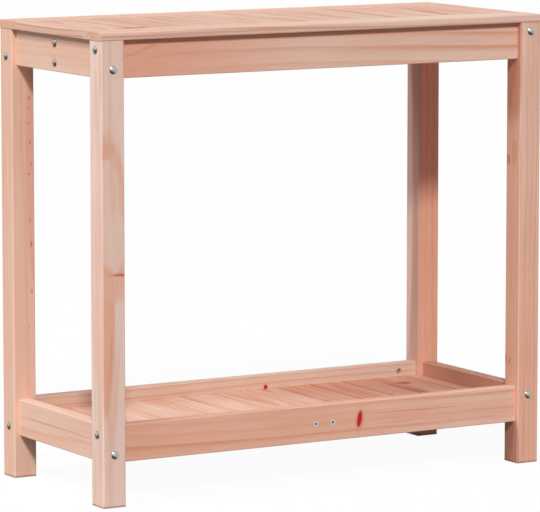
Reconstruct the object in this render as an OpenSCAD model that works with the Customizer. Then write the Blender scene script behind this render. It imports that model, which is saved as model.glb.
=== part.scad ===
// Potting bench: a boarded top on four bolted legs, with a boarded shelf near the ground.
// X runs along the bench, the front faces -Y, and Z = 0 is the ground.

/* [Bench] */
// Length of the top, left to right
top_length = 825; // [700:5:1200]
// Depth of the top, front to back
top_depth = 350; // [300:5:500]
// Height of the top surface above the ground
bench_height = 750; // [600:5:950]
// How far the top reaches past the outer faces of the legs
top_overhang = 1; // [0:0.5:10]

/* [Legs] */
// Side of a square leg
leg_side = 40; // [40:1:50]
// Radius of the four long edges of a leg
leg_round = 2; // [0.5:0.5:4]

/* [Rails] */
// Height of the aprons, the shelf rails and the middle bearer
rail_height = 60; // [54:1:80]
// Thickness of the aprons, the shelf rails and the middle bearer
rail_thickness = 22; // [20:1:26]
// Radius of the long edges of a rail
rail_round = 1.5; // [0.5:0.5:3]
// Height of the shelf rails' undersides above the ground
shelf_rail_lift = 70; // [40:5:250]

/* [Boards] */
// Thickness of the top and shelf boards
board_thickness = 13; // [12:1:16]
// Width of the two border boards along the front and back of the top
border_width = 60; // [50:1:80]
// Number of cross boards in the top, and in the shelf
board_count = 13; // [9:1:15]
// Bevel on the upper long edges of a cross board
board_bevel = 1.2; // [0.4:0.2:2]
// Radius of the outer edges of a border board
border_round = 2; // [0.5:0.5:4]
// Gap left between neighbouring boards
board_gap = 0.3; // [0.2:0.1:1]
// Thickness of a board's tongue
tongue_thickness = 4; // [3:0.5:5]
// Reach of a board's tongue past its joint line
tongue_reach = 5; // [3:0.5:7]
// Play around a tongue in its groove, on each side
tongue_play = 0.2; // [0.1:0.1:0.4]
// Depth of the groove that holds the shelf boards in the long shelf rails
shelf_groove_depth = 8; // [5:0.5:9]

/* [Bolts] */
// Diameter of a bolt's shank
bolt_d = 6; // [5:0.5:7]
// Diameter of a bolt's domed head
bolt_head_d = 12.5; // [11:0.5:14]
// Height of a bolt's domed head
bolt_head_h = 3.3; // [3:0.1:4]
// Height of the straight rim under the dome
bolt_rim_h = 0.9; // [0.5:0.1:1.2]
// Width across the flats of the hexagonal socket
socket_flats = 4; // [3:0.5:5]
// Depth of the hexagonal socket
socket_depth = 2; // [1:0.5:2.5]
// Distance from a rail's long edge to its bolt or dowel
bolt_edge = 14.5; // [12:0.5:15]
// Length of a bolt beyond the middle of its barrel nut
bolt_past_nut = 6; // [6:1:10]
// Play between a bolt and the wood around it, on each side
bolt_play = 0.25; // [0.1:0.05:0.5]

/* [Barrel nuts and dowels] */
// Diameter of a barrel nut
nut_d = 10; // [9:0.5:10]
// Length of a barrel nut
nut_length = 14; // [10:1:16]
// Distance from the end of a rail to the middle of its barrel nut
nut_setback = 34; // [28:1:45]
// Play between a bolt and the thread of its barrel nut, on each side
thread_play = 0.05; // [0.02:0.01:0.1]
// Play between a barrel nut or dowel and its hole, on each side
fit_play = 0.1; // [0.05:0.05:0.2]
// Diameter of a dowel
dowel_d = 8; // [6:1:10]
// Wood left between a dowel's hole and the crossing bolt's hole
dowel_wall = 1.75; // [1:0.25:4]

/* [Screws] */
// Diameter of a screw's shank
screw_d = 4; // [3:0.5:4.5]
// Diameter of a screw's head
screw_head_d = 8.5; // [7.5:0.5:9]
// Height of a screw's head
screw_head_h = 2.6; // [2:0.1:3]
// Length of a screw's pointed tip
screw_tip = 5; // [3:0.5:7]
// Width of one arm of the cross recess
recess_width = 1; // [0.6:0.1:1.2]
// Length of the cross recess from end to end
recess_length = 4.6; // [3:0.2:5]
// Depth of the cross recess
recess_depth = 1.6; // [1:0.1:1.8]
// Length of a screw that holds the middle shelf board
shelf_screw_length = 45; // [35:5:60]
// Distance between the two screws at each end of the middle shelf board
shelf_screw_spacing = 32; // [20:1:40]
// Distance between the screws that hold the top down
top_screw_spacing = 250; // [200:5:280]
// Rail wood under the head of a screw that holds the top down
top_screw_grip = 20; // [15:1:30]
// How far such a screw reaches into the top
top_screw_bite = 9; // [6:0.5:10]
// Diameter of the counterbore that such a screw goes in through
counterbore_d = 10; // [9:0.5:12]

/* [Hidden] */
$fn = 32;
wood = "#dcab90";
steel = "#b4b7ba";
// Overshoot that lets a cut pass clean through a face
cut = 1;

leg_height = bench_height - board_thickness;
leg_face_x = top_length / 2 - top_overhang;
leg_face_y = top_depth / 2 - top_overhang;
leg_mid_x = leg_face_x - leg_side / 2;
leg_mid_y = leg_face_y - leg_side / 2;

long_rail_length = 2 * (leg_face_x - leg_side);
side_rail_length = 2 * (leg_face_y - leg_side);
rail_outer_x = leg_mid_x + rail_thickness / 2;
rail_inner_x = leg_mid_x - rail_thickness / 2;
rail_outer_y = leg_mid_y + rail_thickness / 2;
rail_inner_y = leg_mid_y - rail_thickness / 2;
apron_mid_z = leg_height - rail_height / 2;
shelf_mid_z = shelf_rail_lift + rail_height / 2;

board_pitch = top_length / board_count;
tongue_low = (board_thickness - tongue_thickness) / 2;
border_inner_y = top_depth / 2 - border_width;
shelf_board_z = shelf_mid_z - board_thickness / 2;
shelf_board_end_y = rail_inner_y + shelf_groove_depth - board_gap;

bolt_offset = rail_height / 2 - bolt_edge;
bolt_hole_d = bolt_d + 2 * bolt_play;
leg_bolt_length = leg_side + nut_setback + bolt_past_nut;
bearer_bolt_length = rail_thickness + nut_setback + bolt_past_nut;
bolt_dome_rise = bolt_head_h - bolt_rim_h;
bolt_dome_r = (pow(bolt_head_d / 2, 2) + pow(bolt_dome_rise, 2)) / (2 * bolt_dome_rise);
dowel_half = leg_side / 2 - bolt_hole_d / 2 - dowel_wall;
screw_hole_d = screw_d + 2 * fit_play;
top_screw_seat_z = leg_height - top_screw_grip;
top_screw_length = top_screw_grip + top_screw_bite;

function two_digits(i) = i < 10 ? str("0", i) : str(i);
function board_name(kind, i) = str(kind, "_", two_digits(i));

// ---- Shapes shared by several pieces ----

// A rectangle about the origin with rounded corners
module rounded_rectangle(w, h, r) {
    square([w - 2 * r, h], center = true);
    square([w, h - 2 * r], center = true);
    for (sx = [-1, 1], sy = [-1, 1])
        translate([sx * (w / 2 - r), sy * (h / 2 - r)])
            circle(r = r);
}

// A rail along X about the origin
module rail_bar(length) {
    rotate([90, 0, 90])
        linear_extrude(length, center = true)
            rounded_rectangle(rail_thickness, rail_height, rail_round);
}

// A rod along +X from the origin
module rod(d, length) {
    rotate([0, 90, 0])
        cylinder(d = d, h = length);
}

// Two crossed slots, sunk into a screw head along +X from the origin
module cross_recess() {
    for (turn = [0, 90])
        rotate([turn, 0, 0])
            translate([-cut, -recess_width / 2, -recess_length / 2])
                cube([recess_depth + cut, recess_width, recess_length]);
}

// A screw's shank and point along +X from the origin
module screw_shank(length) {
    rod(screw_d, length - screw_tip);
    translate([length - screw_tip, 0, 0])
        rotate([0, 90, 0])
            cylinder(d1 = screw_d, d2 = screw_d / 8, h = screw_tip);
}

// A domed bolt along +X, with its head seated on the plane x = 0
module bolt(shank_length) {
    difference() {
        union() {
            rod(bolt_d, shank_length);
            rotate([0, -90, 0])
                intersection() {
                    cylinder(d = bolt_head_d, h = bolt_head_h);
                    translate([0, 0, bolt_head_h - bolt_dome_r])
                        sphere(r = bolt_dome_r, $fn = 64);
                }
        }
        translate([-bolt_head_h - cut, 0, 0])
            rotate([0, 90, 0])
                cylinder(d = socket_flats / cos(30), h = socket_depth + cut, $fn = 6);
    }
}

// A barrel nut across the bolt's line, with its middle at the origin
module barrel_nut() {
    difference() {
        rotate([90, 0, 0])
            cylinder(d = nut_d, h = nut_length, center = true);
        translate([-nut_d, 0, 0])
            rod(bolt_d + 2 * thread_play, 2 * nut_d);
    }
}

// The blind cross hole for a barrel nut, open on the side that turn points to
module nut_hole(turn) {
    rotate([-90 * turn, 0, 0])
        translate([0, 0, -nut_length / 2])
            cylinder(d = nut_d + 2 * fit_play, h = nut_length / 2 + rail_thickness / 2 + cut);
}

// ---- Where the joints are ----
// Each puts its children at the outer face of the first piece, half way up the rail,
// with +X pointing inwards. $turn says which way up that joint is built.

// Between a leg and a long rail
module long_joint(sx, sy, mid_z) {
    translate([sx * leg_face_x, sy * leg_mid_y, mid_z])
        rotate([0, 0, sx < 0 ? 0 : 180])
            let ($turn = sx * sy) children();
}

// Between a leg and a side rail
module side_joint(sx, sy, mid_z) {
    translate([sx * leg_mid_x, sy * leg_face_y, mid_z])
        rotate([0, 0, -90 * sy])
            let ($turn = -sx * sy) children();
}

// Between a side apron and the middle bearer
module bearer_joint(sx) {
    translate([sx * rail_outer_x, 0, apron_mid_z])
        rotate([0, 0, sx < 0 ? 0 : 180])
            children();
}

// Every joint of the four legs
module all_leg_joints() {
    for (sx = [-1, 1], sy = [-1, 1], mid_z = [apron_mid_z, shelf_mid_z]) {
        long_joint(sx, sy, mid_z) children();
        side_joint(sx, sy, mid_z) children();
    }
}

// The holes that one leg joint needs, in the leg and in the rail together
module leg_joint_holes() {
    translate([0, 0, $turn * bolt_offset]) {
        translate([-cut, 0, 0])
            rod(bolt_hole_d, leg_bolt_length + 2 * cut);
        translate([leg_side + nut_setback, 0, 0])
            nut_hole($turn);
    }
    translate([leg_side - dowel_half - fit_play, 0, -$turn * bolt_offset])
        rod(dowel_d + 2 * fit_play, 2 * (dowel_half + fit_play));
}

// The holes that one end of the middle bearer needs
module bearer_joint_holes() {
    for (side = [-1, 1])
        translate([0, 0, side * bolt_offset]) {
            translate([-cut, 0, 0])
                rod(bolt_hole_d, bearer_bolt_length + 2 * cut);
            translate([rail_thickness + nut_setback, 0, 0])
                nut_hole(1);
        }
}

// Each screw that holds the top down, seated on the plane x = 0 and pointing up
module all_top_screws() {
    for (place = [-1, 0, 1], y = [-leg_mid_y, 0, leg_mid_y])
        translate([place * top_screw_spacing, y, top_screw_seat_z])
            rotate([0, -90, 0])
                children();
}

// The hole and counterbore for one such screw
module top_screw_hole() {
    rod(screw_hole_d, top_screw_length + fit_play);
    translate([-rail_height, 0, 0])
        rod(counterbore_d, rail_height);
}

// Each screw through a long shelf rail, with the rail's face on the plane x = 0
module all_shelf_screws() {
    for (sy = [-1, 1], side = [-1, 1])
        translate([side * shelf_screw_spacing / 2, sy * rail_outer_y, shelf_mid_z])
            rotate([0, 0, -90 * sy])
                children();
}

// The countersunk hole for one such screw
module shelf_screw_hole() {
    rod(screw_hole_d, shelf_screw_length + fit_play);
    rotate([0, 90, 0])
        cylinder(d1 = screw_head_d, d2 = screw_d, h = screw_head_h);
}

// ---- Legs and rails ----

module leg(sx, sy) {
    color(wood)
        difference() {
            translate([sx * leg_mid_x, sy * leg_mid_y, 0])
                linear_extrude(leg_height)
                    rounded_rectangle(leg_side, leg_side, leg_round);
            for (mid_z = [apron_mid_z, shelf_mid_z]) {
                long_joint(sx, sy, mid_z) leg_joint_holes();
                side_joint(sx, sy, mid_z) leg_joint_holes();
            }
        }
}

// A rail along the front or back, at the height of its middle
module long_rail(sy, mid_z) {
    difference() {
        translate([0, sy * leg_mid_y, mid_z])
            rail_bar(long_rail_length);
        for (sx = [-1, 1])
            long_joint(sx, sy, mid_z) leg_joint_holes();
    }
}

// A rail along the left or right end, at the height of its middle
module side_rail(sx, mid_z) {
    difference() {
        translate([sx * leg_mid_x, 0, mid_z])
            rotate([0, 0, 90])
                rail_bar(side_rail_length);
        for (sy = [-1, 1])
            side_joint(sx, sy, mid_z) leg_joint_holes();
    }
}

module long_apron(sy) {
    color(wood)
        difference() {
            long_rail(sy, apron_mid_z);
            all_top_screws() top_screw_hole();
        }
}

module side_apron(sx) {
    color(wood)
        difference() {
            side_rail(sx, apron_mid_z);
            bearer_joint(sx) bearer_joint_holes();
        }
}

module middle_bearer() {
    color(wood)
        difference() {
            translate([0, 0, apron_mid_z])
                rail_bar(2 * rail_inner_x);
            for (sx = [-1, 1])
                bearer_joint(sx) bearer_joint_holes();
            all_top_screws() top_screw_hole();
        }
}

module long_shelf_rail(sy) {
    groove_height = board_thickness + 2 * tongue_play;
    color(wood)
        difference() {
            long_rail(sy, shelf_mid_z);
            translate([0, sy * rail_inner_y, shelf_mid_z])
                cube([long_rail_length + 2 * cut, 2 * shelf_groove_depth, groove_height], center = true);
            all_shelf_screws() shelf_screw_hole();
        }
}

module side_shelf_rail(sx) {
    color(wood)
        side_rail(sx, shelf_mid_z);
}

// ---- Boards ----

// A border board of the top, grooved along its inner edge
module top_border(sy) {
    outer_y = top_depth / 2;
    inner_y = border_inner_y + board_gap / 2;
    groove_y = border_inner_y + tongue_reach + tongue_play;
    groove_height = tongue_thickness + 2 * tongue_play;
    color(wood)
        mirror([0, sy < 0 ? 1 : 0, 0])
            difference() {
                translate([0, 0, leg_height])
                    rotate([90, 0, 90])
                        linear_extrude(top_length, center = true)
                            difference() {
                                union() {
                                    translate([(outer_y + inner_y) / 2, board_thickness / 2])
                                        rounded_rectangle(outer_y - inner_y, board_thickness, border_round);
                                    translate([inner_y, 0])
                                        square([border_round, board_thickness]);
                                }
                                translate([inner_y - cut, tongue_low - tongue_play])
                                    square([groove_y - inner_y + cut, groove_height]);
                            }
                all_top_screws() top_screw_hole();
            }
}

// The section of a cross board from x = left to x = right, with its underside on y = 0
module board_section(left, right, grooved, tongued) {
    low = left + board_gap / 2;
    high = right - board_gap / 2;
    difference() {
        polygon([
            [low, 0], [high, 0], [high, board_thickness - board_bevel],
            [high - board_bevel, board_thickness], [low + board_bevel, board_thickness],
            [low, board_thickness - board_bevel]
        ]);
        if (grooved)
            translate([low - cut, tongue_low - tongue_play])
                square([
                    left + tongue_reach + tongue_play - low + cut,
                    tongue_thickness + 2 * tongue_play
                ]);
    }
    if (tongued)
        translate([high - cut, tongue_low])
            square([right + tongue_reach - high + cut, tongue_thickness]);
}

// A cross board, with its tongue towards +X, that reaches end_y to the front and back
module cross_board(left, right, end_y, grooved, tongued) {
    rotate([90, 0, 0])
        linear_extrude(2 * end_y, center = true)
            board_section(left, right, grooved, tongued);
}

// Left edge of the board at a place in the row, before any trimming
function board_left(i) = -top_length / 2 + (i - 1) * board_pitch;

module top_board(i) {
    left = board_left(i);
    end_y = border_inner_y - board_gap / 2;
    tongue_left = i > 1 ? left + tongue_reach + tongue_play : left + board_gap / 2;
    tongue_right = left + board_pitch - board_gap / 2;
    tongue_end_y = border_inner_y + tongue_reach;
    color(wood)
        difference() {
            translate([0, 0, leg_height]) {
                cross_board(left, left + board_pitch, end_y, i > 1, i < board_count);
                translate([tongue_left, -tongue_end_y, tongue_low])
                    cube([tongue_right - tongue_left, 2 * tongue_end_y, tongue_thickness]);
            }
            all_top_screws() top_screw_hole();
        }
}

// Shelf boards stand under the top boards, and the two end ones are trimmed to the side
// rails and notched around the legs.
module shelf_board(i) {
    left = max(board_left(i), -rail_inner_x);
    right = min(board_left(i) + board_pitch, rail_inner_x);
    notch_x = leg_face_x - leg_side - board_gap;
    notch_y = leg_face_y - leg_side - board_gap;
    color(wood)
        difference() {
            translate([0, 0, shelf_board_z])
                cross_board(left, right, shelf_board_end_y, i > 1, i < board_count);
            for (sx = [-1, 1], sy = [-1, 1])
                translate([sx * (notch_x + leg_side / 2), sy * (notch_y + leg_side / 2), shelf_mid_z])
                    cube([leg_side, leg_side, board_thickness + 2 * cut], center = true);
            all_shelf_screws() shelf_screw_hole();
        }
}

// ---- Fasteners ----

module leg_bolts() {
    color(steel)
        all_leg_joints()
            translate([0, 0, $turn * bolt_offset])
                bolt(leg_bolt_length);
}

module leg_barrel_nuts() {
    color(steel)
        all_leg_joints()
            translate([leg_side + nut_setback, 0, $turn * bolt_offset])
                barrel_nut();
}

module leg_dowels() {
    color(wood)
        all_leg_joints()
            translate([leg_side - dowel_half, 0, -$turn * bolt_offset])
                rod(dowel_d, 2 * dowel_half);
}

module bearer_bolts() {
    color(steel)
        for (sx = [-1, 1], side = [-1, 1])
            bearer_joint(sx)
                translate([0, 0, side * bolt_offset])
                    bolt(bearer_bolt_length);
}

module bearer_barrel_nuts() {
    color(steel)
        for (sx = [-1, 1], side = [-1, 1])
            bearer_joint(sx)
                translate([rail_thickness + nut_setback, 0, side * bolt_offset])
                    barrel_nut();
}

module shelf_screws() {
    color(steel)
        all_shelf_screws()
            difference() {
                union() {
                    screw_shank(shelf_screw_length);
                    rotate([0, 90, 0])
                        cylinder(d1 = screw_head_d, d2 = screw_d, h = screw_head_h);
                }
                cross_recess();
            }
}

module top_screws() {
    color(steel)
        all_top_screws()
            difference() {
                union() {
                    screw_shank(top_screw_length);
                    translate([-screw_head_h, 0, 0])
                        rod(screw_head_d, screw_head_h);
                }
                translate([-screw_head_h, 0, 0])
                    cross_recess();
            }
}

leg(-1, -1);  // leg_front_left
leg(1, -1);  // leg_front_right
leg(-1, 1);  // leg_back_left
leg(1, 1);  // leg_back_right
long_apron(-1);  // apron_front
long_apron(1);  // apron_back
side_apron(-1);  // apron_left
side_apron(1);  // apron_right
middle_bearer();
top_border(-1);  // top_border_front
top_border(1);  // top_border_back
long_shelf_rail(-1);  // shelf_rail_front
long_shelf_rail(1);  // shelf_rail_back
side_shelf_rail(-1);  // shelf_rail_left
side_shelf_rail(1);  // shelf_rail_right
for (i = [1:board_count]) {
    top_board(i);
    shelf_board(i);
}
leg_bolts();
leg_barrel_nuts();
leg_dowels();
bearer_bolts();
bearer_barrel_nuts();
shelf_screws();
top_screws();
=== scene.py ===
import math
import random

import bpy
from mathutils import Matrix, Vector


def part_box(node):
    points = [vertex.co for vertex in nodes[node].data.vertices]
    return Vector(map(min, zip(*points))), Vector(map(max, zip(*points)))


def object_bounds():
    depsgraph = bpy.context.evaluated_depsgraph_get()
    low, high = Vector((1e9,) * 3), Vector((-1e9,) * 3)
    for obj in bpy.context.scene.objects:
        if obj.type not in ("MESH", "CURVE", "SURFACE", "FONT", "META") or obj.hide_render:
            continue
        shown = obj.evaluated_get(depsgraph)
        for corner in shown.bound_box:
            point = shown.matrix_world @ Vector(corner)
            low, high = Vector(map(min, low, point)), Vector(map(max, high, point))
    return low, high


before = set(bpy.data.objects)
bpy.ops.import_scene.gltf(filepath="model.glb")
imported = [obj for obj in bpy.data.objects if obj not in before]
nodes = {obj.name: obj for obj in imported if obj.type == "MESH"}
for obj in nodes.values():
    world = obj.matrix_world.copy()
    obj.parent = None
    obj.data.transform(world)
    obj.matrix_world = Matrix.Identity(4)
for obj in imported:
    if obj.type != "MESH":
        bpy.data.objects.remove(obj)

cad_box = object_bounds()


# ---- Legs ----
# Four square softwood posts, planed on all sides with their long edges eased. The grain runs up each
# post, and each was cut from another place in its log, so the rings meet every face in their own way.
# The bolts and dowels of the rails hold them.


class Value:
    """A quantity that varies over a surface; sums and products of it are Math nodes."""

    def __init__(self, shading, socket):
        self.shading = shading
        self.socket = socket

    def maths(self, operation, first, second=0.0):
        return self.shading.node("ShaderNodeMath", {"operation": operation}, {0: first, 1: second})

    def lesser(self, other):
        return self.maths("MINIMUM", self, other)

    def greater(self, other):
        return self.maths("MAXIMUM", self, other)

    def size(self):
        return self.maths("ABSOLUTE", self)

    def fraction(self):
        return self.maths("FRACT", self)

    def output(self, name):
        return Value(self.shading, self.socket.node.outputs[name])

    def __add__(self, other):
        return self.maths("ADD", self, other)

    def __radd__(self, other):
        return self.maths("ADD", other, self)

    def __sub__(self, other):
        return self.maths("SUBTRACT", self, other)

    def __rsub__(self, other):
        return self.maths("SUBTRACT", other, self)

    def __mul__(self, other):
        return self.maths("MULTIPLY", self, other)

    def __rmul__(self, other):
        return self.maths("MULTIPLY", other, self)

    def __truediv__(self, other):
        return self.maths("DIVIDE", self, other)

    def __pow__(self, other):
        return self.maths("POWER", self, other)


class Shading:
    """The nodes behind one shader, of a material or of the studio round the bench."""

    def __init__(self, owner, shader):
        owner.use_nodes = True
        self.tree = owner.node_tree
        self.shader = self.tree.nodes[shader]

    def node(self, kind, settings, sockets):
        made = self.tree.nodes.new(kind)
        for key, setting in settings.items():
            setattr(made, key, setting)
        for key, value in sockets.items():
            self.feed(made.inputs[key], value)
        shown = [socket for socket in made.outputs if socket.enabled]
        return Value(self, shown[0])

    def feed(self, socket, value):
        if isinstance(value, Value):
            self.tree.links.new(value.socket, socket)
        else:
            socket.default_value = value

    def surface(self, **inputs):
        for name, value in inputs.items():
            self.feed(self.shader.inputs[name.replace("_", " ")], value)

    def mix(self, factor, first, second, blend="MIX"):
        """The first colour, with the second laid over it by factor."""
        settings = {"data_type": "RGBA", "blend_type": blend, "clamp_factor": True}
        return self.node("ShaderNodeMix", settings, {0: factor, 6: first, 7: second})

    def step(self, value, low, high, start=0.0, end=1.0):
        """A smooth change from start, where value is low or less, to end, where it is high or more."""
        settings = {"interpolation_type": "SMOOTHSTEP"}
        sockets = {"Value": value, 1: low, 2: high, 3: start, 4: end}
        return self.node("ShaderNodeMapRange", settings, sockets)


class Finish(Shading):
    """A material in the making, round its Principled shader."""

    def __init__(self, name):
        self.material = bpy.data.materials.new(name)
        super().__init__(self.material, "Principled BSDF")
        self.place = self.node("ShaderNodeTexCoord", {}, {}).output("Object")

    def facing(self):
        """The X, Y and Z of the way that the surface faces."""
        normal = self.node("ShaderNodeNewGeometry", {}, {}).output("Normal")
        split = self.node("ShaderNodeSeparateXYZ", {}, {0: normal})
        return [split.output(axis) for axis in "XYZ"]

    def reach(self, centre, radii, turn=0.0):
        """How far a point lies from centre, where 1 is the ellipsoid with these radii, turned about Y."""
        sockets = {"Vector": self.place, "Location": centre, "Rotation": (0.0, turn, 0.0), "Scale": radii}
        local = self.node("ShaderNodeMapping", {"vector_type": "TEXTURE"}, sockets)
        return self.node("ShaderNodeVectorMath", {"operation": "LENGTH"}, {0: local}).output("Value")


class Timber(Finish):
    """A finish for a piece of wood, with its grain along one axis."""

    def __init__(self, name, grain, seed):
        super().__init__(name)
        self.chance = random.Random(seed)
        split = self.node("ShaderNodeSeparateXYZ", {}, {0: self.place})
        self.axes = [split.output(axis) for axis in "XYZ"]
        self.grain = "XYZ".index(grain)
        self.along = self.axes[self.grain]
        self.across, self.through = [axis for axis in self.axes if axis is not self.along]

    def noise(self, stretch, fineness, detail):
        """Noise from 0 to 1, with this many lumps in a metre along the grain and across it."""
        sockets = {
            0: self.along * stretch + self.chance.uniform(0.0, 60.0),
            1: self.across * fineness + self.chance.uniform(0.0, 60.0),
            2: self.through * fineness,
        }
        drawn = self.node("ShaderNodeCombineXYZ", {}, sockets)
        return self.node("ShaderNodeTexNoise", {}, {"Vector": drawn, "Scale": 1.0, "Detail": detail})

    def end(self):
        """1 on faces cut across the grain, 0 on the others."""
        return self.step(self.facing()[self.grain].size(), 0.6, 0.95)

    def arris(self, low, high):
        """Distance to the nearest edge of the box from low to high."""
        first, second, third = (
            (far - near) / 2 - (axis - (near + far) / 2).size()
            for axis, near, far in zip(self.axes, low, high)
        )
        return first.lesser(second).greater(first.greater(second).lesser(third))

    def swelling(self, knots):
        """1 at a knot, fading to 0 in the wood that grew round it."""
        halo = 0.0
        for centre, radii, _, *turn in knots:
            halo = self.step(self.reach(centre, radii, *turn), 0.8, 2.4, 1.0, 0.0) + halo
        return halo

    def late_wood(self, heart, ring, tilt, lean, dip, halo):
        """The dark late wood of each year, from 0 to 1, in rings round the heart."""
        wander_width = 0.020
        sway_width = 0.034
        knot_shift = 0.12
        wander = self.noise(2.4, 7.0, 1.0)
        sway = self.noise(1.3, 3.0, 0.0)
        aside = self.across - heart[0] - self.along * tilt + (wander - 0.5) * wander_width
        beyond = self.through - heart[1] - self.along * lean + (sway - 0.5) * sway_width
        if dip:
            place, length, depth = dip
            beyond = beyond + self.step((self.along - place).size(), 0.0, length, depth, 0.0)
        years = ((aside * aside + beyond * beyond) ** 0.5 / ring + halo * knot_shift).fraction()
        late = self.step(years, 0.40, 0.88) ** 1.4 * self.step(years, 0.89, 1.0, 1.0, 0.0)
        return late * self.step(self.noise(1.0, 26.0, 1.0), 0.32, 0.62, 0.2, 1.2)

    def stain(self, colour, spots, fray):
        """The colour with each spot laid over it; fray is how far its edge runs along the fibres."""
        for centre, radii, tone, amount, *turn in spots:
            edge = self.reach(centre, radii, *turn) + (self.noise(12.0, 400.0, 2.0) - 0.5) * fray
            colour = self.mix(self.step(edge, 0.72, 1.0, amount, 0.0), colour, (*tone, 1.0))
        return colour

    def knotted(self, colour, knots):
        """The colour with each knot set into it: a bright middle, dark rings and a soft edge."""
        raggedness = 0.5
        ring_count = 3.5
        for centre, radii, tone, *turn in knots:
            near = self.reach(centre, radii, *turn) + (self.noise(60.0, 60.0, 1.0) - 0.5) * raggedness
            bright, dark = (tuple(part * share for part in tone) + (1.0,) for share in (1.2, 0.45))
            core = self.mix(self.step(near, 0.2, 0.8), bright, (*tone, 1.0))
            rings = ((near * ring_count).fraction() - 0.5).size()
            core = self.mix(self.step(rings, 0.25, 0.5, 0.0, 0.45), core, dark)
            colour = self.mix(self.step(near, 0.75, 1.2, 1.0, 0.0), colour, core)
        return colour


def softwood(
    name, grain, heart, pale, warm, seed,
    ring=0.009, figure=0.6, stripes=30.0, tilt=0.0, lean=0.0, dip=None, drift=None,
    patches=(), knots=(), marks=(), joints=(), gap=0.7, box=None,
):
    """Planed softwood whose rings run round the line heart, along the axis grain.

    heart lies in the two other axes, taken in the order X, Y, Z, and moves by tilt and lean along the
    grain. pale and warm are the colours of early and late wood, ring is the width of a year's ring,
    figure is how strongly the rings show, and stripes is how many warm stripes cross a metre.
    dip is (place along the grain, length, depth) of a bend in the grain, and drift is (start, end,
    colour) of a slow change of the pale colour along the grain.
    A patch lies under the figure and a mark over it. Both are (centre, radii, colour, amount), and a
    knot is (centre, radii, colour). An angle after the last of these turns it about Y.
    joints are the places of the joints beside a board, painted dark partly with dirt and partly as the shade
    in their grooves, and gap is how dark they are. box is what the worn edges run round, where that isn't the
    whole piece.
    """
    cloud_shade = (0.93, 0.86, 0.82, 1.0)
    fibre_shade = (0.90, 0.84, 0.80, 1.0)
    pore_shade = (0.72, 0.58, 0.50, 1.0)
    end_shade = (0.95, 0.82, 0.72, 1.0)
    worn_wood = (0.76, 0.56, 0.46, 1.0)
    joint_dirt_and_shade = (0.34, 0.10, 0.055, 1.0)
    wood = Timber(name, grain, seed)
    halo = wood.swelling(knots)
    late = wood.late_wood(heart, ring, tilt, lean, dip, halo)
    end = wood.end()
    late = late * figure * (1.0 - end * 0.5)

    band = wood.step(wood.noise(0.9, stripes, 2.0), 0.44, 0.66)
    cloud = wood.step(wood.noise(5.0, 18.0, 2.0), 0.35, 0.72)
    fibre = wood.noise(16.0, 1000.0, 2.0)
    pores = wood.step(wood.noise(90.0, 2600.0, 0.0), 0.66, 0.80)

    early = (*pale, 1.0)
    if drift:
        start, finish, far_colour = drift
        early = wood.mix(wood.step(wood.along, start, finish), early, (*far_colour, 1.0))
    early = wood.stain(early, patches, 0.25)
    colour = wood.mix(band * figure * 0.5 + late + halo * 0.4, early, (*warm, 1.0))
    colour = wood.mix(cloud * 0.5, colour, cloud_shade, "MULTIPLY")
    colour = wood.mix(wood.step(fibre, 0.35, 0.75, 0.0, 0.6), colour, fibre_shade, "MULTIPLY")
    colour = wood.mix(pores * 0.25, colour, pore_shade, "MULTIPLY")
    colour = wood.stain(colour, marks, 0.9)
    colour = wood.knotted(colour, knots)
    low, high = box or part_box(name)
    worn = wood.step(wood.arris(low, high) + (fibre - 0.5) * 0.0010, 0.0004, 0.0022, 1.0, 0.0)
    colour = wood.mix(worn * 0.3, colour, worn_wood)
    # The joints are painted dark, partly with dirt and partly as shade in their grooves.
    for joint in joints:
        grime_and_shade = wood.step((wood.across - joint).size(), 0.0006, 0.0026, gap, 0.0)
        colour = wood.mix(grime_and_shade, colour, joint_dirt_and_shade)
    colour = wood.mix(end * 0.5, colour, end_shade, "MULTIPLY")

    saw_marks = end * wood.noise(700.0, 700.0, 2.0)
    height = fibre * 0.5 + late * 0.5 - pores * 0.3 + saw_marks * 0.8
    relief = wood.node("ShaderNodeBump", {}, {"Strength": 0.3, "Distance": 0.0004, "Height": height})
    wood.surface(
        Base_Color=colour,
        Roughness=0.60 - late * 0.10 + (fibre - 0.5) * 0.14 + end * 0.15 + worn * 0.06,
        Normal=relief,
        Specular_IOR_Level=0.28,
    )
    return wood.material


def dress(node, material):
    """Gives a CAD node its finish."""
    slots = nodes[node].data.materials
    slots.clear()
    slots.append(material)


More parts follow.
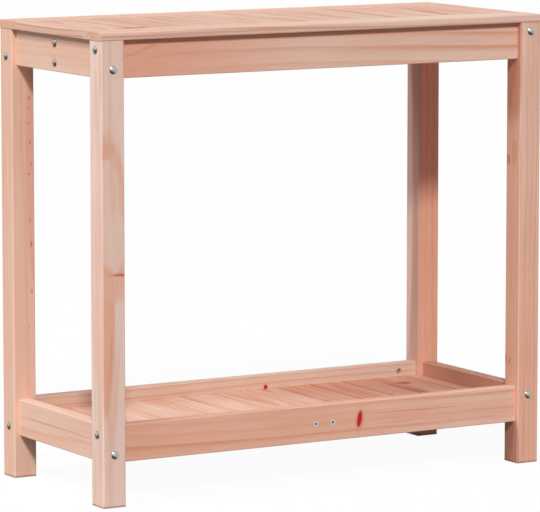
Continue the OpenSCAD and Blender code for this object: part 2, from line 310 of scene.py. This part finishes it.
left_face, front_face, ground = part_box("leg_front_left")[0]
painted_foot_shadow = ((0.0, 0.0, ground), (2.0, 2.0, 0.0035), (0.27, 0.13, 0.09), 0.7)  # painted contact shadow round the bottom edge
resin_red = (0.60, 0.17, 0.11)
amber = (0.70, 0.34, 0.19)
cream = (0.80, 0.62, 0.55)
tan = (0.77, 0.50, 0.38)
dress("leg_front_left", softwood(
    "leg_front_left", "Z", (left_face + 0.016, front_face + 0.020), (0.81, 0.65, 0.585), (0.75, 0.47, 0.36),
    seed=11, ring=0.008, figure=0.4, tilt=0.012,
    patches=[
        # An arch in the figure, pale inside.
        ((left_face + 0.006, front_face, 0.455), (0.043, 0.002, 0.155), (0.73, 0.41, 0.28), 0.9),
        ((left_face + 0.005, front_face, 0.455), (0.037, 0.004, 0.143), cream, 0.95),
        ((left_face + 0.008, front_face, 0.565), (0.017, 0.002, 0.016), (0.75, 0.43, 0.31), 0.75),
        ((left_face + 0.023, front_face, 0.545), (0.0050, 0.002, 0.030), tan, 0.6, -0.5),
        ((left_face + 0.033, front_face, 0.470), (0.0045, 0.002, 0.080), tan, 0.6, -0.03),
        # A warm tongue below the arch, with pale wood above it.
        ((left_face + 0.002, front_face, 0.285), (0.023, 0.002, 0.165), (0.72, 0.40, 0.27), 0.75),
        ((left_face + 0.001, front_face, 0.295), (0.021, 0.004, 0.160), (0.785, 0.44, 0.325), 0.8),
        ((left_face + 0.020, front_face, 0.425), (0.030, 0.004, 0.053), cream, 1.0),
        ((left_face + 0.022, front_face, 0.350), (0.034, 0.004, 0.026), (0.79, 0.49, 0.375), 0.8),
        # Two amber lines and the pale foot.
        ((left_face + 0.012, front_face, 0.215), (0.0035, 0.002, 0.075), amber, 0.6, 0.07),
        ((left_face + 0.022, front_face, 0.371), (0.020, 0.002, 0.0035), amber, 0.5, -0.15),
        ((left_face + 0.020, front_face, 0.045), (0.040, 0.004, 0.120), (0.83, 0.65, 0.61), 0.9),
        # The left face, with fine amber lines.
        ((left_face, front_face + 0.020, 0.350), (0.002, 0.030, 0.170), (0.80, 0.555, 0.47), 0.7),
        ((left_face, front_face + 0.012, 0.130), (0.002, 0.0020, 0.120), amber, 0.55),
        ((left_face, front_face + 0.004, 0.680), (0.002, 0.0022, 0.050), amber, 0.6),
        ((left_face, front_face + 0.019, 0.300), (0.002, 0.0014, 0.140), amber, 0.5),
        ((left_face, front_face + 0.027, 0.240), (0.002, 0.0016, 0.130), amber, 0.45),
    ],
    marks=[
        ((left_face + 0.034, front_face, 0.369), (0.016, 0.002, 0.0024), (0.58, 0.15, 0.09), 0.95, 0.03),
        painted_foot_shadow,
    ],
))
inner_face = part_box("leg_front_right")[0][0]
dress("leg_front_right", softwood(
    "leg_front_right", "Z", (inner_face - 0.0065, front_face - 0.026), (0.79, 0.48, 0.37), (0.71, 0.37, 0.25),
    seed=12, ring=0.007, figure=0.6, drift=(0.1, 0.6, (0.80, 0.585, 0.495)),
    patches=[
        # The left face, with painted shade at its top, under the top boards, and at its foot.
        ((inner_face, front_face + 0.020, 0.350), (0.0035, 0.06, 0.600), (0.80, 0.485, 0.37), 0.9),
        ((inner_face, front_face + 0.020, 0.720), (0.0035, 0.06, 0.170), (0.56, 0.23, 0.155), 0.8),
        ((inner_face, front_face + 0.020, 0.000), (0.0035, 0.06, 0.085), (0.41, 0.15, 0.097), 0.8),
    ],
    marks=[
        ((inner_face, front_face + 0.016, 0.520), (0.03, 0.010, 0.024), resin_red, 0.30),
        ((inner_face, front_face + 0.033, 0.508), (0.03, 0.006, 0.011), resin_red, 0.7),
        ((inner_face, front_face + 0.038, 0.172), (0.02, 0.0045, 0.013), resin_red, 0.8),
        ((inner_face, front_face + 0.026, 0.170), (0.02, 0.0030, 0.006), resin_red, 0.7),
        ((inner_face + 0.0180, front_face, 0.190), (0.0020, 0.004, 0.045), amber, 0.5),
        ((inner_face + 0.0125, front_face, 0.050), (0.0026, 0.004, 0.060), amber, 0.45),
        painted_foot_shadow,
    ],
))
(_, leg_front, _), (leg_right, _, _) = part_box("leg_back_left")
speck_heights = (0.62, 0.60, 0.58, 0.555, 0.52, 0.505, 0.43, 0.39, 0.375, 0.30, 0.25)
specks = random.Random(5)
dress("leg_back_left", softwood(
    "leg_back_left", "Z", (leg_right - 0.0885, leg_front + 0.106), (0.79, 0.54, 0.43), (0.73, 0.43, 0.31),
    seed=13, ring=0.010, figure=0.5,
    patches=[((leg_right, leg_front, 0.520), (0.019, 0.006, 0.230), (0.72, 0.38, 0.28), 0.6)],
    marks=[painted_foot_shadow] + [
        (
            (leg_right - specks.uniform(0.005, 0.011), leg_front, height + specks.uniform(-0.008, 0.008)),
            (specks.uniform(0.0010, 0.0019), 0.02, specks.uniform(0.0018, 0.0045)),
            (0.50, 0.14, 0.09), 0.75,
        )
        for height in speck_heights
    ],
))
inner_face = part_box("leg_back_right")[0][0]
leg_middle = leg_front + 0.020
dress("leg_back_right", softwood(
    "leg_back_right", "Z", (inner_face - 0.0415, leg_front - 0.054), (0.79, 0.43, 0.31), (0.68, 0.31, 0.19),
    # Above the middle the colour drifts redder, painted to the tone of the shade under the top.
    seed=14, ring=0.010, figure=0.6, drift=(0.38, 0.50, (0.86, 0.365, 0.28)),
    patches=[
        # Painted shade on the left face high up, lighter low down, and a painted streak of light along its
        # back edge.
        ((inner_face, leg_middle, 0.37), (0.004, 0.08, 1.2), (0.53, 0.35, 0.31), 0.8),
        ((inner_face, leg_middle, 0.25), (0.004, 0.08, 0.32), (0.66, 0.44, 0.38), 0.95),
        ((inner_face, leg_middle + 0.023, 0.42), (0.004, 0.026, 0.37), (0.93, 0.70, 0.62), 0.85),
    ],
    marks=[painted_foot_shadow],
))


# ---- Aprons and middle bearer ----
# Planed softwood boards on edge between the legs, close under the top, each end held by a bolt and a
# dowel. The bearer runs down the middle, bolted to the end aprons. The grain runs their whole length.

apron_end, apron_outer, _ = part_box("apron_front")[0]
leg_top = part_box("leg_front_left")[1][2]
dress("apron_front", softwood(
    "apron_front", "X", (apron_outer + 0.035, 0.640), (0.78, 0.42, 0.31), (0.69, 0.32, 0.20), seed=21,
    ring=0.019, figure=0.6, tilt=0.006, lean=-0.012, dip=(apron_end - 0.01, 0.10, 0.026),
    drift=(-0.37, 0.02, (0.80, 0.58, 0.485)),
    # A dark band along the top edge: painted shade under the overhang of the top.
    patches=[((0.0, apron_outer, leg_top), (2.0, 0.02, 0.010), (0.45, 0.19, 0.13), 0.7)],
))
dress("apron_back", softwood(
    "apron_back", "X", (-apron_outer - 0.045, 0.700), (0.775, 0.445, 0.325), (0.70, 0.34, 0.205), seed=22,
    ring=0.010, figure=0.7,
))
dress("apron_left", softwood(
    "apron_left", "Y", (-0.33, 0.62), (0.78, 0.555, 0.45), (0.72, 0.43, 0.31), seed=23,
))
dress("apron_right", softwood(
    "apron_right", "Y", (0.33, 0.64), (0.78, 0.50, 0.38), (0.71, 0.40, 0.27), seed=24,
))
dress("middle_bearer", softwood(
    "middle_bearer", "X", (0.05, 0.60), (0.77, 0.47, 0.35), (0.69, 0.36, 0.23), seed=25,
))


# ---- Top boards ----
# Thirteen tongued and grooved softwood boards laid from front to back, between two border boards whose
# grain runs along the bench. Screws through the aprons and the bearer hold them from below.

red_knot = (0.50, 0.17, 0.11)
dark_knot = (0.22, 0.11, 0.08)
resin_brown = (0.40, 0.10, 0.06)
top_z = cad_box[1][2]
border_low, border_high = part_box("top_border_front")
border_middle = (border_low[2] + border_high[2]) / 2
dress("top_border_front", softwood(
    "top_border_front", "X", (-0.20, 0.66), (0.70, 0.525, 0.445), (0.62, 0.33, 0.23), seed=31,
    ring=0.012, figure=0.8, drift=(0.0, 0.35, (0.71, 0.56, 0.495)),
    patches=[((0.0, border_low[1], border_low[2]), (2.0, 0.0035, 0.015), (0.835, 0.64, 0.565), 0.9)],
    marks=[((-0.22, border_low[1], border_middle), (0.26, 0.003, 0.0016), (0.64, 0.31, 0.20), 0.7)],
))
dress("top_border_back", softwood(
    "top_border_back", "X", (0.20, 0.66), (0.73, 0.48, 0.375), (0.66, 0.36, 0.24), seed=32, ring=0.012,
))
top_knots = {
    2: [((-0.316, -0.106, top_z), (0.021, 0.010, 0.02), (0.38, 0.10, 0.065))],
    5: [((-0.160, 0.060, top_z), (0.0045, 0.008, 0.02), dark_knot)],
}
top_marks = {
    2: [((-0.318, -0.105, top_z), (0.036, 0.014, 0.02), red_knot, 0.7)],
    11: [((0.282, -0.050, top_z), (0.004, 0.060, 0.02), resin_brown, 0.95)],
    12: [((0.293, 0.020, top_z), (0.004, 0.085, 0.02), resin_brown, 0.95)],
}
top_boards = sorted(name for name in nodes if name.startswith("top_board_"))
board_width = (border_high[0] - border_low[0]) / len(top_boards)
joints = [border_low[0] + count * board_width for count in range(1, len(top_boards))]
joint_dark = 0.45
top_pale = (0.70, 0.52, 0.43)
top_warm = (0.55, 0.24, 0.14)


def lifted(colour, lift):
    """The colour, lighter by lift."""
    return tuple(part + lift for part in colour)


for count, name in enumerate(top_boards, start=1):
    chance = random.Random(300 + count)
    left = border_low[0] + (count - 1) * board_width
    glow = chance.uniform(-0.02, 0.02)
    dress(name, softwood(
        name, "Y", (left + board_width * chance.uniform(0.1, 0.9), top_z - chance.uniform(0.02, 0.07)),
        lifted(top_pale, glow), top_warm, seed=300 + count, stripes=90.0,
        ring=chance.uniform(0.0045, 0.007), figure=chance.uniform(0.6, 1.3),
        tilt=chance.uniform(-0.05, 0.05), knots=top_knots.get(count, ()), marks=top_marks.get(count, ()),
        joints=joints[max(0, count - 2):count], gap=joint_dark,
        box=((left, border_high[1], 0.0), (left + board_width, -border_high[1], top_z)),
    ))


# ---- Shelf rails ----
# Planed softwood boards on edge round the shelf, bolted and dowelled to the legs like the aprons. The
# two long ones are grooved inside for the shelf boards.

cherry_knot = (0.47, 0.012, 0.012)
russet = (0.64, 0.28, 0.17)
rail_low, rail_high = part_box("shelf_rail_front")
rail_middle = (rail_low[2] + rail_high[2]) / 2
dress("shelf_rail_front", softwood(
    "shelf_rail_front", "X", (rail_low[1] + 0.040, rail_middle - 0.055), (0.79, 0.48, 0.365),
    (0.70, 0.34, 0.22), seed=41, ring=0.012, figure=0.7, tilt=0.006, drift=(-0.1, 0.35, (0.80, 0.55, 0.45)),
    knots=[((0.067, rail_low[1], rail_middle + 0.0015), (0.0046, 0.02, 0.0128), cherry_knot, 0.14)],
    patches=[
        ((0.060, rail_low[1], rail_middle + 0.002), (0.190, 0.02, 0.012), (0.78, 0.41, 0.29), 0.3),
        ((0.067, rail_low[1], rail_middle - 0.001), (0.0095, 0.02, 0.0190), (0.72, 0.22, 0.11), 0.6, 0.14),
    ],
    marks=[
        ((0.170, rail_low[1], rail_middle + 0.007), (0.120, 0.02, 0.0011), russet, 0.75, 0.015),
        ((0.150, rail_low[1], rail_middle - 0.009), (0.060, 0.02, 0.0010), russet, 0.6, -0.02),
    ],
))
back_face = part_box("shelf_rail_back")[0][1]
dress("shelf_rail_back", softwood(
    "shelf_rail_back", "X", (back_face + 0.07, 0.02), (0.66, 0.485, 0.405), (0.62, 0.34, 0.24), seed=42,
    ring=0.010, figure=0.5, drift=(-0.3, 0.2, (0.70, 0.56, 0.47)),
    knots=[((0.070, back_face, rail_middle + 0.010), (0.0035, 0.02, 0.0035), cherry_knot)],
))
side_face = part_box("shelf_rail_left")[0][0]
dress("shelf_rail_left", softwood(
    "shelf_rail_left", "Y", (-0.45, 0.07), (0.77, 0.54, 0.435), (0.73, 0.43, 0.30), seed=43,
    ring=0.011, figure=0.7,
    marks=[
        ((side_face, 0.010, rail_middle + 0.003), (0.003, 0.150, 0.0012), (0.60, 0.30, 0.20), 0.8),
        ((side_face, -0.080, rail_middle - 0.006), (0.003, 0.060, 0.0010), (0.62, 0.33, 0.22), 0.6),
    ],
))
# This rail is painted darker than the others, as shade: the top shades its inner face.
dress("shelf_rail_right", softwood(
    "shelf_rail_right", "Y", (0.45, 0.07), (0.56, 0.287, 0.213), (0.50, 0.22, 0.145), seed=44,
    ring=0.010, figure=0.7,
))


# ---- Shelf boards ----
# The same tongued softwood boards as the top's, slid into the grooves of the long rails from one end.
# Those towards the right were cut from redder wood.

shelf_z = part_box("shelf_board_07")[1][2]
shelf_knots = {12: [((0.307, 0.080, shelf_z), (0.013, 0.010, 0.02), (0.36, 0.08, 0.05))]}
shelf_marks = {
    9: [((0.098, 0.085, shelf_z), (0.0035, 0.060, 0.02), (0.58, 0.17, 0.09), 0.9)],
    10: [((joints[9], 0.09, shelf_z), (0.0025, 0.10, 0.02), (0.42, 0.13, 0.08), 0.8)],
    11: [
        ((0.277, 0.020, shelf_z), (0.0035, 0.095, 0.02), (0.38, 0.08, 0.05), 0.95),
        ((0.284, -0.040, shelf_z), (0.0025, 0.075, 0.02), resin_brown, 0.9),
    ],
    12: [((0.289, -0.030, shelf_z), (0.0030, 0.090, 0.02), (0.42, 0.10, 0.06), 0.9)],
    13: [((0.376, 0.04, shelf_z), (0.0035, 0.12, 0.02), (0.48, 0.16, 0.10), 0.7)],
}
shelf_pale, shelf_red_pale = (0.78, 0.56, 0.455), (0.68, 0.35, 0.245)
shelf_warm, shelf_red_warm = (0.64, 0.32, 0.20), (0.59, 0.23, 0.14)
shelf_redness = (0.0, 0.0, 0.0, 0.0, 0.0, 0.2, 0.25, 0.5, 0.95, 1.0, 1.0, 0.7, 0.6)
shelf_boards = sorted(name for name in nodes if name.startswith("shelf_board_"))
groove_margin = 0.01  # keeps the worn edges off the ends that the grooves hide


def between(first, second, share):
    """The colour that lies this share of the way from the first to the second."""
    return tuple(near + (far - near) * share for near, far in zip(first, second))


for count, name in enumerate(shelf_boards, start=1):
    chance = random.Random(500 + count)
    low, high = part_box(name)
    left = border_low[0] + (count - 1) * board_width
    glow = chance.uniform(-0.025, 0.02)
    red = shelf_redness[count - 1]
    dress(name, softwood(
        name, "Y", (left + board_width * chance.uniform(0.1, 0.9), shelf_z - chance.uniform(0.02, 0.07)),
        lifted(between(shelf_pale, shelf_red_pale, red), glow), between(shelf_warm, shelf_red_warm, red),
        seed=500 + count, stripes=60.0, ring=chance.uniform(0.006, 0.009), figure=chance.uniform(0.7, 1.2),
        tilt=chance.uniform(-0.05, 0.05), knots=shelf_knots.get(count, ()),
        marks=shelf_marks.get(count, ()), joints=joints[max(0, count - 2):count],
        gap=joint_dark * (1.0 + red),
        box=(
            (left, low[1] - groove_margin, low[2]),
            (left + board_width, high[1] + groove_margin, shelf_z),
        ),
    ))


# ---- Bolts, nuts, screws and dowels ----
# Domed bolts with a hex socket and countersunk screws with a crossed slot, of plated steel. The bolts
# draw into barrel nuts, and hardwood dowels beside those in the legs keep the rails from turning.


def plated_steel(name, tone, roughness, drives=()):
    """Bright plated steel with faint rolling marks, with painted shade where it curves away.

    Domed heads are painted dark below and at their left, or at their front where they face sideways, as
    painted shade and dark reflection. drives are the points along whose Y axes screws lie; the slots in their
    heads are dark with dirt and painted shade.
    """
    painted_rim_shade = (0.05, 0.045, 0.045, 1.0)
    painted_shade = (0.02, 0.018, 0.018, 1.0)
    slot_dirt_and_shade = (0.018, 0.021, 0.028, 1.0)
    slot_size = (0.0022, 1.0, 0.0022)
    steel = Finish(name)
    marks = steel.node("ShaderNodeTexNoise", {}, {"Vector": steel.place, "Scale": 900.0, "Detail": 2.0})
    x, y, z = steel.facing()
    slope = 1.0 - x.size().greater(y.size())
    sideways = steel.step(x.size() - y.size(), 0.0, 0.1)
    across = x * (1.0 - sideways) * 0.5 + y * sideways * 0.6
    painted_shade_below = steel.step(0.0 - z * 0.8 - across, 0.10, 0.34)
    colour = steel.mix(marks, (tone, tone, tone * 1.02, 1.0), (tone * 0.7, tone * 0.7, tone * 0.72, 1.0))
    # Painted shade on the rim, where the dome curves away.
    colour = steel.mix(steel.step(slope, 0.06, 0.22, 0.0, 0.5), colour, painted_rim_shade)
    # Painted shade and dark reflection below the dome and at one side.
    colour = steel.mix(painted_shade_below * 0.9, colour, painted_shade)
    # Each screw's slot painted dark, with dirt and painted shade.
    for drive in drives:
        colour = steel.mix(steel.step(steel.reach(drive, slot_size), 0.65, 1.0, 0.92, 0.0), colour, slot_dirt_and_shade)
    steel.surface(
        Base_Color=colour,
        Metallic=1.0 - painted_shade_below * 0.85,
        Roughness=roughness + marks * 0.12 + slope * 0.3 + painted_shade_below * 0.3,
    )
    return steel.material


bolt_steel = plated_steel("bolt_steel", 0.62, 0.14)
for name in ("leg_bolts", "bearer_bolts", "leg_barrel_nuts", "bearer_barrel_nuts"):
    dress(name, bolt_steel)
head_low, head_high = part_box("shelf_screws")
screw_z = (head_low[2] + head_high[2]) / 2
screw_x = head_high[0] - (head_high[2] - screw_z)
shelf_drives = [(-screw_x, 0.0, screw_z), (screw_x, 0.0, screw_z)]
screw_steel = plated_steel("screw_steel", 0.62, 0.22, drives=shelf_drives)
for name in ("shelf_screws", "top_screws"):
    dress(name, screw_steel)
dress("leg_dowels", softwood(
    "leg_dowels", "X", (0.0, 0.0), (0.70, 0.50, 0.34), (0.60, 0.40, 0.26), seed=61, ring=0.004, figure=0.4,
))


# ---- Floor, light and camera ----
# A wide pale floor under a white studio. A key light stands high in front and a little left, a large
# soft light hangs over the left, and dim fill comes from the front, the back and all round.

floor_size = 120.0
floor_grey = (0.30, 0.28, 0.27, 1.0)
white = (1.0, 1.0, 1.0, 1.0)
floor_glow = 0.955
bpy.ops.object.select_all(action="DESELECT")
bpy.ops.mesh.primitive_plane_add(size=floor_size, location=(0.0, 0.0, 0.0))
floor = bpy.context.object
floor.name = "floor"


def seen(shading):
    """1 for what the camera or a glossy reflection sees, 0 for the light that falls on the bench."""
    rays = shading.node("ShaderNodeLightPath", {}, {})
    return rays.output("Is Camera Ray").greater(rays.output("Is Glossy Ray"))


paper = Finish("floor")
shown = seen(paper)
paper.surface(Base_Color=paper.mix(shown, floor_grey, white), Roughness=0.9, Specular_IOR_Level=0.0)
glow = paper.node("ShaderNodeEmission", {}, {"Color": white, "Strength": 1.0})
matt = Value(paper, paper.shader.outputs["BSDF"])
lit = paper.node("ShaderNodeMixShader", {}, {0: shown * floor_glow, 1: matt, 2: glow})
paper.feed(paper.tree.nodes["Material Output"].inputs["Surface"], lit)
floor.data.materials.append(paper.material)

studio_dim = (0.11, 0.09, 0.083, 1.0)
world = bpy.data.worlds.new("studio")
studio = Shading(world, "Background")
studio.surface(Color=studio.mix(seen(studio), studio_dim, white))
bpy.context.scene.world = world


def hang(name, light, direction, distance=0.0):
    """Puts a light at distance in direction from the bench's foot, shining back at it."""
    outward = Vector(direction).normalized()
    holder = bpy.data.objects.new(name, light)
    holder.location = outward * distance
    holder.rotation_euler = outward.to_track_quat("Z", "Y").to_euler()
    bpy.context.scene.collection.objects.link(holder)
    return holder


def lamp(name, direction, strength, spread, colour, glint=True):
    """A distant light from direction; strength is what a white surface facing it sends back."""
    light = bpy.data.lights.new(name, "SUN")
    light.energy = strength * math.pi
    light.angle = math.radians(spread)
    light.color = colour
    hang(name, light, direction).visible_glossy = glint


lamp("key", (-0.60, -1.19, 1.0), 0.765, 7.0, (1.0, 0.94, 0.90))
lamp("front_fill", (0.05, -1.0, 0.12), 0.10, 60.0, (1.0, 0.86, 0.84), glint=False)
lamp("back_fill", (0.64, 0.77, 0.03), 0.60, 30.0, (1.0, 0.96, 0.94), glint=False)

strip_strength = 0.68
strip_distance = 20.0
strip = bpy.data.lights.new("left_strip", "AREA")
strip.shape = "RECTANGLE"
strip.size = 7.0
strip.size_y = 6.3
strip.energy = strip_strength * (math.pi * strip_distance) ** 2
hang("left_strip", strip, (-0.716, -0.020, 0.695), strip_distance)

camera = bpy.data.cameras.new("camera")
camera.sensor_width = 36.0
camera.lens = 268.2
camera.clip_end = 200.0
viewer = bpy.data.objects.new("camera", camera)
round_left = math.radians(30.52)
above = math.radians(7.417)
stand_off = 6.645
aim_height = 0.4717
aim = Vector((0.0, 0.0095, cad_box[1][2] * aim_height))
level = math.cos(above)
sight = Vector((-math.sin(round_left) * level, -math.cos(round_left) * level, math.sin(above)))
viewer.location = aim + sight * stand_off
viewer.rotation_euler = (math.pi / 2 - above, 0.0, -round_left)
bpy.context.scene.collection.objects.link(viewer)
bpy.context.scene.camera = viewer
bpy.context.scene.view_settings.view_transform = "Standard"
